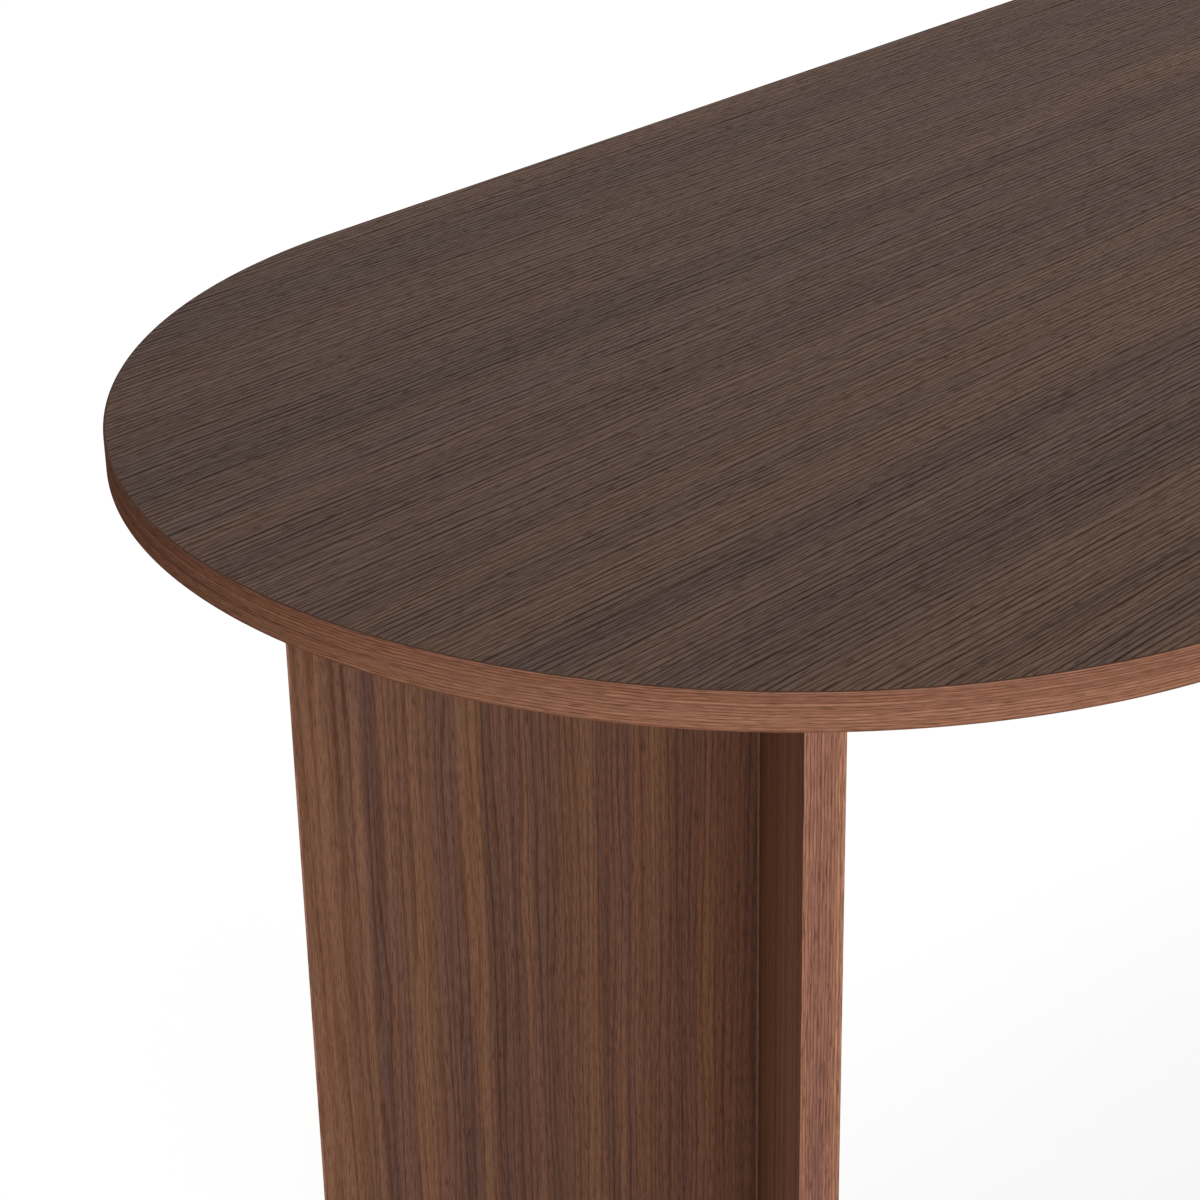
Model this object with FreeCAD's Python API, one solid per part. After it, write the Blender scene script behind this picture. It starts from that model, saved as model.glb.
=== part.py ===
# Oval dining table: a laminated top with round ends on two legs, each a V of two upright boards.
# Millimetres. The origin is on the floor under the middle of the top, +X runs along the table and +Z is up.
import FreeCAD, Part
import math
import os

# Overall sizes
table_length = 1800.0
table_width = 900.0
table_height = 750.0

# Top: a board core between two laminates, with a band round the rim
top_thickness = 25.0
face_laminate = 0.8
backer_laminate = 0.8
rim_band = 1.5
rim_arris = 0.8

# Leg panels: the butt panel's inner end stands against the through panel's inner face
panel_thickness = 25.0
arm_reach = 325.0
corner_inset = 426.0
arm_turn = 45.0
panel_band = 1.5
panel_arris = 0.5

# Floor glides and their nails
glide_height = 5.0
glide_radius = 9.0
glide_chamfer = 1.2
glide_end_distance = 40.0
nail_radius = 1.3
nail_grip = 18.0
nail_point = 3.0
nail_head_radius = 3.0
nail_head_height = 1.2
nail_head_recess = 1.5

# Dowels of the corner joint
dowel_count = 4
dowel_radius = 4.0
dowel_in_face = 13.0
dowel_in_end = 25.0
dowel_chamfer = 1.0
dowel_edge_distance = 50.0

# Cam fittings of the corner joint
cam_count = 3
cam_edge_distance = 110.0
cam_radius = 7.5
cam_setback = 34.0
cam_recess = 0.5
cam_floor = 2.5
cam_wall = 2.4
cam_drive_length = 9.0
cam_drive_width = 2.2
cam_drive_depth = 3.0
bolt_thread_radius = 3.0
bolt_thread_length = 11.0
bolt_shank_radius = 3.5
bolt_neck_radius = 2.2
bolt_head_radius = 3.4
bolt_head_length = 3.2
cap_radius = 8.5
cap_thickness = 1.2
cap_arris = 0.7
cap_peg_radius = 0.9
cap_peg_length = 2.5

# Angle brackets under the top
bracket_width = 60.0
bracket_height = 40.0
bracket_depth = 40.0
bracket_thickness = 3.0
bracket_bend = 3.0
bracket_corner_round = 6.0
bracket_corner_distance = 95.0
bracket_end_distance = 70.0
bracket_hole_spacing = 36.0
bracket_hole_reach = 26.0

# Countersunk screws from the brackets into the panels
screw_radius = 2.0
screw_length = 19.0
screw_point = 5.0
screw_head_radius = 4.0
screw_head_height = 2.0
screw_drive_length = 4.0
screw_drive_width = 0.9
screw_drive_depth = 1.4

# Machine bolts from the brackets into insert nuts in the top
machine_bolt_radius = 3.0
machine_bolt_head_radius = 5.25
machine_bolt_head_height = 3.3
machine_bolt_head_round = 1.5
machine_bolt_socket = 2.0
machine_bolt_socket_depth = 2.0
insert_nut_radius = 5.0
insert_nut_length = 13.0
insert_nut_room = 2.0

# Clearances: a close fit in a bored hole, and a free fit round a shank
close_fit = 0.05
free_fit = 0.3

# Places worked out from the sizes above
top_underside = table_height - top_thickness
panel_foot = glide_height
panel_middle = -panel_thickness / 2
panel_top = top_underside
corner_x = table_length / 2 - corner_inset
cam_bore_depth = panel_thickness / 2 + bolt_head_radius + cam_floor
cam_face = -panel_thickness + cam_recess

UP = FreeCAD.Vector(0, 0, 1)


def point(x, y, z):
    return FreeCAD.Vector(x, y, z)


def block(low, high):
    """A box between two opposite corners."""
    size = high - low
    return Part.makeBox(size.x, size.y, size.z, low)


def rod(radius, start, end):
    """A round bar from one point to another."""
    run = end - start
    return Part.makeCylinder(radius, run.Length, start, run)


def taper(start_radius, end_radius, start, end):
    """A round bar whose radius changes from one end to the other."""
    run = end - start
    return Part.makeCone(start_radius, end_radius, run.Length, start, run)


def joined(shapes):
    """One clean solid made of pieces that touch or overlap."""
    return shapes[0].fuse(shapes[1:]).removeSplitter()


def turned(shape, degrees):
    """A copy turned about the upright axis through the origin."""
    copy = shape.copy()
    copy.rotate(point(0, 0, 0), UP, degrees)
    return copy


def moved(shape, x, y, z):
    copy = shape.copy()
    copy.translate(point(x, y, z))
    return copy


def spread(low, high, count):
    """Evenly spaced places from low to high."""
    step = (high - low) / (count - 1)
    return [low + step * index for index in range(count)]


def is_level(edge):
    return edge.BoundBox.ZLength < close_fit


def upright_edges(shape):
    """Edges that run along Z."""
    return [edge for edge in shape.Edges if not is_level(edge)]


def oval(length, width, bottom, thickness):
    """A plate with straight sides and half-round ends."""
    radius = width / 2
    half = length / 2 - radius
    corners = [point(x, y, bottom) for x, y in ((-half, -radius), (half, -radius), (half, radius), (-half, radius))]
    east_end = Part.Arc(corners[1], point(half + radius, 0, bottom), corners[2])
    west_end = Part.Arc(corners[3], point(-half - radius, 0, bottom), corners[0])
    outline = [
        Part.LineSegment(corners[0], corners[1]).toShape(),
        east_end.toShape(),
        Part.LineSegment(corners[2], corners[3]).toShape(),
        west_end.toShape(),
    ]
    return Part.Face(Part.Wire(outline)).extrude(point(0, 0, thickness))


def stand_leg(shape, leg):
    """A leg is built with its inner corner at the origin, then turned and moved to its end of the table."""
    place, turn = LEG_PLACES[leg]
    return moved(turned(shape, turn), place, 0, 0)


LEG_PLACES = {
    "west": (-corner_x, 180.0 - arm_turn),
    "east": (corner_x, 360.0 - arm_turn),
}

# In the leg's own frame the butt panel runs along +X and the through panel along +Y.
# A fitting is built on the through panel at Y = 0 and seated along either panel.


def along_through(shape, distance):
    return moved(shape, 0, distance, 0)


def along_butt(shape, distance):
    return moved(turned(shape, 90.0), distance, 0, 0)


def bracket_seats():
    """Each bracket's name, its panel's seating function and its distance from the inner corner."""
    near = bracket_corner_distance
    far = arm_reach - bracket_end_distance
    return [
        ("through_panel_corner_bracket", along_through, near),
        ("through_panel_end_bracket", along_through, far),
        ("butt_panel_corner_bracket", along_butt, near),
        ("butt_panel_end_bracket", along_butt, far),
    ]


def seated(shape):
    """Copies of a fitting at every bracket."""
    return [seat(shape, distance) for _, seat, distance in bracket_seats()]


def hole_pair():
    return (-bracket_hole_spacing / 2, bracket_hole_spacing / 2)


def cross_recess(length, width, depth):
    """A cross-shaped driver recess, its mouth at X = 0 and its floor at -depth."""
    level = block(point(-depth, -length / 2, -width / 2), point(0, length / 2, width / 2))
    upright = block(point(-depth, -width / 2, -length / 2), point(0, width / 2, length / 2))
    return joined([level, upright])


def make_bracket():
    """A bent steel angle: one flange on the panel, one under the top."""
    half = bracket_width / 2
    base = panel_top - bracket_height
    inner = bracket_thickness + bracket_bend
    middle = bracket_bend * (1 - math.sqrt(0.5))
    profile = [
        point(0, -half, base),
        point(bracket_thickness, -half, base),
        point(bracket_thickness, -half, panel_top - inner),
        point(bracket_thickness + middle, -half, panel_top - bracket_thickness - middle),
        point(inner, -half, panel_top - bracket_thickness),
        point(bracket_depth, -half, panel_top - bracket_thickness),
        point(bracket_depth, -half, panel_top),
        point(0, -half, panel_top),
    ]
    bend = Part.Arc(profile[2], profile[3], profile[4]).toShape()
    path = profile[:3] + profile[4:]
    edges = [Part.LineSegment(a, b).toShape() for a, b in zip(path[:2], path[1:3])]
    edges.append(bend)
    edges += [Part.LineSegment(a, b).toShape() for a, b in zip(path[3:], path[4:] + path[:1])]
    angle = Part.Face(Part.Wire(edges)).extrude(point(0, bracket_width, 0))
    angle = angle.makeFillet(bracket_corner_round, free_corners(angle, base))
    return angle.cut(bracket_holes())


def free_corners(angle, base):
    """The four short edges at the outer corners of the two flanges."""
    chosen = []
    for edge in angle.Edges:
        box = edge.BoundBox
        at_foot = is_level(edge) and box.YLength < close_fit and abs(box.ZMin - base) < close_fit
        at_rim = not is_level(edge) and box.XMin > bracket_depth - close_fit
        if at_foot or at_rim:
            chosen.append(edge)
    return chosen


def bracket_holes():
    """Countersunk screw holes in the upright flange and bolt holes in the level one."""
    holes = []
    screw_z = panel_top - bracket_hole_reach
    sink_floor = bracket_thickness - screw_head_height
    for side in hole_pair():
        holes.append(rod(screw_radius + free_fit, point(0, side, screw_z), point(bracket_thickness, side, screw_z)))
        holes.append(
            taper(
                screw_radius + free_fit,
                screw_head_radius + free_fit,
                point(sink_floor, side, screw_z),
                point(bracket_thickness, side, screw_z),
            )
        )
        low = point(bracket_hole_reach, side, panel_top - bracket_thickness)
        holes.append(rod(machine_bolt_radius + free_fit, low, point(bracket_hole_reach, side, panel_top)))
    return holes


def make_screw():
    """A countersunk screw, its head flush with the bracket's face and its point in the panel."""
    tip = bracket_thickness - screw_length
    neck = bracket_thickness - screw_head_height
    shank_end = tip + screw_point
    screw = joined(
        [
            rod(screw_radius, point(shank_end, 0, 0), point(neck, 0, 0)),
            taper(screw_radius, screw_head_radius, point(neck, 0, 0), point(bracket_thickness, 0, 0)),
            taper(screw_radius, screw_radius / 4, point(shank_end, 0, 0), point(tip, 0, 0)),
        ]
    )
    recess = moved(cross_recess(screw_drive_length, screw_drive_width, screw_drive_depth), bracket_thickness, 0, 0)
    return screw.cut(recess)


def bracket_screws():
    """The screws of one bracket."""
    screw = make_screw()
    return [moved(screw, 0, side, panel_top - bracket_hole_reach) for side in hole_pair()]


def screw_pilots():
    """Pilot holes in the panel for the screws of one bracket."""
    height = panel_top - bracket_hole_reach
    tip = bracket_thickness - screw_length - close_fit
    radius = screw_radius + close_fit
    return [rod(radius, point(tip, side, height), point(0, side, height)) for side in hole_pair()]


def bolt_places():
    return [(bracket_hole_reach, side) for side in hole_pair()]


def machine_bolts():
    """Button-head bolts that come up through one bracket into its insert nuts."""
    seat = panel_top - bracket_thickness
    bolts = []
    for x, y in bolt_places():
        head = rod(machine_bolt_head_radius, point(x, y, seat - machine_bolt_head_height), point(x, y, seat))
        rim = [edge for edge in head.Edges if is_level(edge) and edge.BoundBox.ZMin < seat - close_fit]
        head = head.makeFillet(machine_bolt_head_round, rim)
        shank = rod(machine_bolt_radius, point(x, y, seat), point(x, y, panel_top + insert_nut_length))
        socket = hexagon(machine_bolt_socket, x, y, seat - machine_bolt_head_height, machine_bolt_socket_depth)
        bolts.append(joined([head, shank]).cut(socket))
    return bolts


def hexagon(half_flats, x, y, bottom, height):
    """A hexagonal bar, given half its width across flats."""
    radius = half_flats / math.cos(math.pi / 6)
    corners = []
    for index in range(7):
        angle = index * math.pi / 3
        corners.append(point(x + radius * math.cos(angle), y + radius * math.sin(angle), bottom))
    return Part.Face(Part.makePolygon(corners)).extrude(point(0, 0, height))


def insert_nuts():
    """Threaded insert nuts above one bracket, flush with the underside of the top."""
    nuts = []
    for x, y in bolt_places():
        low = point(x, y, panel_top)
        high = point(x, y, panel_top + insert_nut_length)
        nuts.append(rod(insert_nut_radius, low, high).cut(rod(machine_bolt_radius + close_fit, low, high)))
    return nuts


def insert_holes():
    """Blind holes in the underside of the top for the insert nuts of one bracket."""
    high = panel_top + insert_nut_length + insert_nut_room
    radius = insert_nut_radius + close_fit
    return [rod(radius, point(x, y, panel_top), point(x, y, high)) for x, y in bolt_places()]


def cam_heights():
    return spread(panel_foot + cam_edge_distance, panel_top - cam_edge_distance, cam_count)


def dowel_heights():
    return spread(panel_foot + dowel_edge_distance, panel_top - dowel_edge_distance, dowel_count)


def corner_line(x, z):
    """A point on the joint's centre line: the middle of the butt panel's thickness."""
    return point(x, panel_middle, z)


def make_dowel(z):
    """A wooden dowel across the joint, with chamfered ends."""
    dowel = rod(dowel_radius, corner_line(-dowel_in_face, z), corner_line(dowel_in_end, z))
    ends = [edge for edge in dowel.Edges if edge.BoundBox.XLength < close_fit]
    return dowel.makeChamfer(dowel_chamfer, ends)


def dowel_hole(z):
    start = corner_line(-dowel_in_face - close_fit, z)
    return rod(dowel_radius + close_fit, start, corner_line(dowel_in_end + close_fit, z))


def make_cam_bolt(z):
    """A bolt screwed into the through panel, whose head the cam lock draws up."""
    shank_end = cam_setback - cam_radius - free_fit
    head_start = cam_setback - bolt_head_length / 2
    return joined(
        [
            rod(bolt_thread_radius, corner_line(-bolt_thread_length, z), corner_line(0, z)),
            rod(bolt_shank_radius, corner_line(0, z), corner_line(shank_end, z)),
            rod(bolt_neck_radius, corner_line(shank_end, z), corner_line(head_start, z)),
            rod(bolt_head_radius, corner_line(head_start, z), corner_line(head_start + bolt_head_length, z)),
        ]
    )


def cam_bolt_pilot(z):
    start = corner_line(-bolt_thread_length - close_fit, z)
    return rod(bolt_thread_radius + close_fit, start, corner_line(0, z))


def cam_bolt_bore(z):
    return rod(bolt_shank_radius + free_fit, corner_line(0, z), corner_line(cam_setback, z))


def cam_bore(z):
    """A blind bore in the butt panel's outer face."""
    mouth = point(cam_setback, -panel_thickness, z)
    return rod(cam_radius, mouth, mouth + point(0, cam_bore_depth, 0))


def make_cam_lock(z):
    """A hollow cam with a slot for the bolt's neck, a mouth for its head and a driver recess."""
    face = point(cam_setback, cam_face, z)
    floor = point(cam_setback, cam_bore_depth - panel_thickness, z)
    centre = corner_line(cam_setback, z)
    half_hollow = point(0, bolt_head_radius + free_fit, 0)
    half_slot = point(0, bolt_neck_radius + free_fit, 0)
    hollow = rod(cam_radius - cam_wall, centre - half_hollow, centre + half_hollow)
    slot = Part.makeCylinder(cam_radius, 2 * half_slot.y, point(0, 0, 0), UP, 90)
    slot.rotate(point(0, 0, 0), point(1, 0, 0), -90)
    slot.rotate(point(0, 0, 0), point(0, 1, 0), 90)
    neck_way = rod(bolt_neck_radius + free_fit, corner_line(cam_setback - cam_radius, z), centre)
    mouth = rod(bolt_head_radius + free_fit, centre, centre - point(0, 0, cam_radius))
    recess = turned(cross_recess(cam_drive_length, cam_drive_width, cam_drive_depth), -90)
    body = rod(cam_radius - close_fit, face, floor)
    slot.translate(centre - half_slot)
    recess.translate(face)
    return body.cut([hollow, slot, neck_way, mouth, recess])


def make_cam_cap(z):
    """A thin cap over the cam's bore, with a peg in the driver recess."""
    seat = point(cam_setback, -panel_thickness, z)
    disc = rod(cap_radius, seat, seat - point(0, cap_thickness, 0))
    rim = [edge for edge in disc.Edges if edge.BoundBox.YMax < seat.y - close_fit]
    disc = disc.makeFillet(cap_arris, rim)
    return joined([disc, rod(cap_peg_radius, seat, seat + point(0, cap_peg_length, 0))])


def glide_places():
    """Each glide's name and its place under the panels."""
    return [
        ("through_panel_outer_glide", panel_middle, arm_reach - glide_end_distance),
        ("through_panel_inner_glide", panel_middle, glide_end_distance - panel_thickness),
        ("butt_panel_outer_glide", arm_reach - glide_end_distance, panel_middle),
        ("butt_panel_inner_glide", glide_end_distance, panel_middle),
    ]


def make_glide(x, y):
    """A round foot with a chamfered tread and a sunk hole for its nail."""
    foot = rod(glide_radius, point(x, y, 0), point(x, y, glide_height))
    tread = [edge for edge in foot.Edges if is_level(edge) and edge.BoundBox.ZMax < close_fit]
    foot = foot.makeChamfer(glide_chamfer, tread)
    head_top = nail_head_recess + nail_head_height
    sink = rod(nail_head_radius + close_fit, point(x, y, 0), point(x, y, head_top))
    hole = rod(nail_radius + close_fit, point(x, y, 0), point(x, y, glide_height))
    return foot.cut([sink, hole])


def make_nail(x, y):
    head_top = nail_head_recess + nail_head_height
    tip = panel_foot + nail_grip
    return joined(
        [
            rod(nail_head_radius, point(x, y, nail_head_recess), point(x, y, head_top)),
            rod(nail_radius, point(x, y, head_top), point(x, y, tip - nail_point)),
            taper(nail_radius, nail_radius / 4, point(x, y, tip - nail_point), point(x, y, tip)),
        ]
    )


def nail_holes():
    top = panel_foot + nail_grip + close_fit
    radius = nail_radius + close_fit
    return [rod(radius, point(x, y, panel_foot), point(x, y, top)) for _, x, y in glide_places()]


def end_band(low, high, round_at):
    """An upright edge band, its outer arrises rounded where round_at picks the edge's middle point."""
    band = block(low, high)
    arrises = [edge for edge in upright_edges(band) if round_at(edge.CenterOfMass)]
    return band.makeFillet(panel_arris, arrises) if arrises else band


def make_panels():
    """The two boards of a leg and the bands on their ends and feet."""
    core_foot = panel_foot + panel_band
    core_end = arm_reach - panel_band
    back = -panel_thickness
    inner = back + panel_band
    screws = [hole for pilot in screw_pilots() for hole in seated(pilot)]
    dowels = [dowel_hole(z) for z in dowel_heights()]
    pilots = [cam_bolt_pilot(z) for z in cam_heights()]
    bores = [cam_bolt_bore(z) for z in cam_heights()]
    cams = [cam_bore(z) for z in cam_heights()]
    nails = nail_holes()
    through = block(point(back, inner, core_foot), point(0, core_end, panel_top))
    butt = block(point(panel_band, back, core_foot), point(core_end, 0, panel_top))
    butt_inner = block(point(0, back, panel_foot), point(panel_band, 0, panel_top))
    through_foot = block(point(back, inner, panel_foot), point(0, core_end, core_foot))
    butt_foot = block(point(panel_band, back, panel_foot), point(core_end, 0, core_foot))
    return {
        "through_panel": through.cut(screws + dowels + pilots + nails),
        "through_panel_outer_band": end_band(
            point(back, core_end, panel_foot),
            point(0, arm_reach, panel_top),
            lambda middle: middle.y > arm_reach - close_fit,
        ),
        "through_panel_inner_band": end_band(
            point(back, back, panel_foot),
            point(0, inner, panel_top),
            lambda middle: middle.y < back + close_fit,
        ),
        "through_panel_foot_band": through_foot.cut(nails),
        "butt_panel": butt.cut(screws + dowels + bores + cams + nails),
        "butt_panel_outer_band": end_band(
            point(core_end, back, panel_foot),
            point(arm_reach, 0, panel_top),
            lambda middle: middle.x > arm_reach - close_fit,
        ),
        "butt_panel_inner_band": butt_inner.cut(dowels + bores),
        "butt_panel_foot_band": butt_foot.cut(nails),
    }


def make_leg():
    """Every piece of one leg, by name. A list is a group of identical fasteners."""
    pieces = make_panels()
    bracket = make_bracket()
    for name, seat, distance in bracket_seats():
        pieces[name] = seat(bracket, distance)
    for name, x, y in glide_places():
        pieces[name] = make_glide(x, y)
    pieces["bracket_screws"] = [copy for screw in bracket_screws() for copy in seated(screw)]
    pieces["bracket_bolts"] = [copy for bolt in machine_bolts() for copy in seated(bolt)]
    pieces["insert_nuts"] = [copy for nut in insert_nuts() for copy in seated(nut)]
    pieces["corner_dowels"] = [make_dowel(z) for z in dowel_heights()]
    pieces["cam_bolts"] = [make_cam_bolt(z) for z in cam_heights()]
    pieces["cam_locks"] = [make_cam_lock(z) for z in cam_heights()]
    pieces["cam_caps"] = [make_cam_cap(z) for z in cam_heights()]
    pieces["glide_nails"] = [make_nail(x, y) for _, x, y in glide_places()]
    return pieces


def make_top():
    """The layers of the top and the band round its rim."""
    holes = [stand_leg(copy, leg) for leg in LEG_PLACES for hole in insert_holes() for copy in seated(hole)]
    inner_length = table_length - 2 * rim_band
    inner_width = table_width - 2 * rim_band
    core_bottom = top_underside + backer_laminate
    core_thickness = top_thickness - backer_laminate - face_laminate
    core = oval(inner_length, inner_width, core_bottom, core_thickness)
    backer = oval(inner_length, inner_width, top_underside, backer_laminate)
    whole = oval(table_length, table_width, top_underside, top_thickness)
    rounded = whole.makeFillet(rim_arris, [edge for edge in whole.Edges if is_level(edge)])
    return {
        "top_board": core.cut(holes),
        "top_face_laminate": oval(inner_length, inner_width, table_height - face_laminate, face_laminate),
        "top_backer_laminate": backer.cut(holes),
        "top_edge_band": rounded.cut(oval(inner_length, inner_width, top_underside, top_thickness)),
    }


def save(name, shapes):
    """Write one node: a single solid, or a group of separate solids."""
    shape = Part.makeCompound(shapes) if isinstance(shapes, list) else shapes
    shape.exportStep("parts/" + name + ".step")
    print(name, len(shape.Solids), "solids", round(shape.Volume), "mm3", "valid" if shape.isValid() else "NOT VALID")


os.makedirs("parts", exist_ok=True)
for name, shape in make_top().items():
    save(name, shape)
leg_pieces = make_leg()
for leg in LEG_PLACES:
    for name, piece in leg_pieces.items():
        group = [stand_leg(shape, leg) for shape in piece] if isinstance(piece, list) else stand_leg(piece, leg)
        save(leg + "_" + name, group)
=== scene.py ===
# %% [markdown]
# # An oval walnut dining table
# The table is a laminated board with half-round ends on two legs, and each leg is a V of two upright
# boards. The solids come ready-made at their real size. This lesson loads them, sets up the camera and
# the studio, remakes the two pieces that need a finer outline, and gives every surface its finish.

# %% Load the solids
import math

import bpy
from mathutils import Matrix, Quaternion, Vector


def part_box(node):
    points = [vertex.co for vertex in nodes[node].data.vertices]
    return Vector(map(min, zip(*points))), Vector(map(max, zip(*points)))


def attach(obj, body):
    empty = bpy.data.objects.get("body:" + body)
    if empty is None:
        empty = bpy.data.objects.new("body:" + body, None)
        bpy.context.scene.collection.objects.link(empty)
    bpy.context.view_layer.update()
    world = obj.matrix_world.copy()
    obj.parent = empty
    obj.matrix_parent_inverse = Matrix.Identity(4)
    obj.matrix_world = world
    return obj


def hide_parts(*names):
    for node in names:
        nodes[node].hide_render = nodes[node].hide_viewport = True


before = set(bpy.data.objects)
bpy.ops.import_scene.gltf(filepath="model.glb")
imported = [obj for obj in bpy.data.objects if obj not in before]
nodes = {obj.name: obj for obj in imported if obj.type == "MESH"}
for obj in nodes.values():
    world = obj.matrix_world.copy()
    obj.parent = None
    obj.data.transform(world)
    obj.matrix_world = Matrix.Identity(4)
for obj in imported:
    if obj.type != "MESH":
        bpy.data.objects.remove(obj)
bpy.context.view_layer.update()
print("nodes loaded:", len(nodes))

# %% [markdown]
# ## The camera
# The photograph looks down on one end of the table with a long lens, tipped a little to one side.
# Its place was worked out from the outline of the round end, so it is given here as measured:
# where the camera stands, which way it looks and how far it leans.

# %% Set the camera
CAMERA_PLACE = Vector((-1.9289, -1.2417, 1.5254))
LOOK_AZIMUTH = math.radians(43.76)
LOOK_DOWN = math.radians(25.92)
CAMERA_LEAN = math.radians(-1.19)
LENS_MM = 93.4
SENSOR_MM = 36.0
VIEW_LIMIT = 200.0

look = Vector(
    (
        math.cos(LOOK_DOWN) * math.cos(LOOK_AZIMUTH),
        math.cos(LOOK_DOWN) * math.sin(LOOK_AZIMUTH),
        -math.sin(LOOK_DOWN),
    )
)
bpy.ops.object.select_all(action="DESELECT")
bpy.ops.object.camera_add(location=CAMERA_PLACE)
camera = bpy.context.object
camera.name = "photo_camera"
camera.rotation_mode = "QUATERNION"
camera.rotation_quaternion = look.to_track_quat("-Z", "Y") @ Quaternion((0, 0, 1), CAMERA_LEAN)
camera.data.lens = LENS_MM
camera.data.sensor_width = SENSOR_MM
camera.data.clip_end = VIEW_LIMIT
bpy.context.scene.camera = camera
bpy.context.scene.view_settings.view_transform = "Standard"
print("camera looks along", [round(value, 3) for value in look])

# %% [markdown]
# ## Node helpers
# A finish is a small graph of shader nodes. Writing each node by hand takes many lines, so one helper adds
# a node and fills its sockets, from a number or from another node's output. Two more build on it, for
# arithmetic and for blends.


# %% Helpers for shader nodes
def srgb(red, green, blue):
    """A colour picked on screen, 0 to 255, as the linear colour that shaders work in."""
    linear = [((c / 255 + 0.055) / 1.055) ** 2.4 if c > 10 else c / 255 / 12.92 for c in (red, green, blue)]
    return (*linear, 1.0)


def add_node(tree, kind, inputs=None, **settings):
    """Add a node, set its options, and fill its input sockets with values or links."""
    node = tree.nodes.new(kind)
    for name, value in settings.items():
        setattr(node, name, value)
    for socket, value in (inputs or {}).items():
        if isinstance(value, bpy.types.NodeSocket):
            tree.links.new(value, node.inputs[socket])
        else:
            node.inputs[socket].default_value = value
    return node


def calc(tree, operation, *values):
    """One arithmetic step; returns its output socket."""
    return add_node(tree, "ShaderNodeMath", dict(enumerate(values)), operation=operation).outputs[0]


def mix_colour(tree, amount, first, second, blend="MIX"):
    """Blend two colours by an amount; returns the output socket."""
    sockets = {0: amount, 6: first, 7: second}
    return add_node(tree, "ShaderNodeMix", sockets, data_type="RGBA", blend_type=blend).outputs[2]


print("mid grey in linear light:", [round(value, 3) for value in srgb(128, 128, 128)])

# %% [markdown]
# ## Noise and ranges
# Wood is streaky because its noise is stretched along the grain, so one helper takes the size of the noise in
# metres, in three directions. Another moves one range of values onto a second one, with soft ends, and the
# last starts an empty material.


# %% Helpers for noise and materials
def stretched_noise(tree, vector, size, detail=2.0, roughness=0.5):
    """Noise whose blobs measure size (along, across, through), in metres."""
    per_metre = tuple(1.0 / length for length in size)
    scaled = add_node(tree, "ShaderNodeVectorMath", {0: vector, 1: per_metre}, operation="MULTIPLY")
    values = {"Vector": scaled.outputs[0], "Scale": 1.0, "Detail": detail, "Roughness": roughness}
    return add_node(tree, "ShaderNodeTexNoise", values).outputs[0]


def remap(tree, value, low, high, to_low=0.0, to_high=1.0):
    """Stretch one range of values onto another, with clamped ends."""
    sockets = {"Value": value, "From Min": low, "From Max": high, "To Min": to_low, "To Max": to_high}
    return add_node(tree, "ShaderNodeMapRange", sockets, interpolation_type="SMOOTHSTEP").outputs[0]


def new_material(name):
    """An empty material with its output and main shader in place."""
    material = bpy.data.materials.new(name)
    material.use_nodes = True
    tree = material.node_tree
    return material, tree, tree.nodes["Principled BSDF"]


print("materials so far:", len(bpy.data.materials))

# %% [markdown]
# ## The studio floor
# The photograph is a cut-out on white. A floor lit to white would throw far too much light on the table, so
# the floor's material asks which ray has found it. To the camera and in reflections it is white and keeps
# the table's soft shadow, and further out it fades to plain white, so that no horizon shows. To the light
# that bounces it is a warm grey, because the shaded wood in the photograph is redder than the lit wood.

# %% Lay the floor
FLOOR_SIZE = 60.0
FLOOR_GLOW = 0.86
FLOOR_GREY = (0.18, 0.18, 0.18, 1.0)
FLOOR_BOUNCE = (0.40, 0.35, 0.30, 1.0)
WHITE = (1.0, 1.0, 1.0, 1.0)
FADE_RANGE = (1.6, 5.0)


def background_switch(tree):
    """1 for rays that show the background: from the camera, off a shiny surface or through glass."""
    rays = add_node(tree, "ShaderNodeLightPath").outputs
    indirect = calc(tree, "MAXIMUM", rays["Is Glossy Ray"], rays["Is Transmission Ray"])
    return calc(tree, "MAXIMUM", rays["Is Camera Ray"], indirect)


bpy.ops.object.select_all(action="DESELECT")
bpy.ops.mesh.primitive_plane_add(size=FLOOR_SIZE, location=(0, 0, 0))
floor = bpy.context.object
floor.name = "studio_floor"
floor_finish, floor_tree, floor_shader = new_material("studio_floor")
floor_tree.nodes.remove(floor_shader)
bounce = add_node(floor_tree, "ShaderNodeBsdfDiffuse", {"Color": FLOOR_BOUNCE})
shadow = add_node(floor_tree, "ShaderNodeBsdfDiffuse", {"Color": FLOOR_GREY})
glow = add_node(floor_tree, "ShaderNodeEmission", {"Color": WHITE, "Strength": FLOOR_GLOW})
near = add_node(floor_tree, "ShaderNodeAddShader", {0: glow.outputs[0], 1: shadow.outputs[0]})
far = add_node(floor_tree, "ShaderNodeEmission", {"Color": WHITE, "Strength": 1.0})
place = add_node(floor_tree, "ShaderNodeTexCoord").outputs["Object"]
distance = add_node(floor_tree, "ShaderNodeVectorMath", {0: place}, operation="LENGTH").outputs["Value"]
fade = remap(floor_tree, distance, *FADE_RANGE)
white = add_node(floor_tree, "ShaderNodeMixShader", {0: fade, 1: near.outputs[0], 2: far.outputs[0]})
seen = background_switch(floor_tree)
sockets = {0: seen, 1: bounce.outputs[0], 2: white.outputs[0]}
floor_mix = add_node(floor_tree, "ShaderNodeMixShader", sockets)
floor_tree.links.new(floor_mix.outputs[0], floor_tree.nodes["Material Output"].inputs["Surface"])
floor.data.materials.append(floor_finish)
print("floor", FLOOR_SIZE, "m wide")

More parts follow.
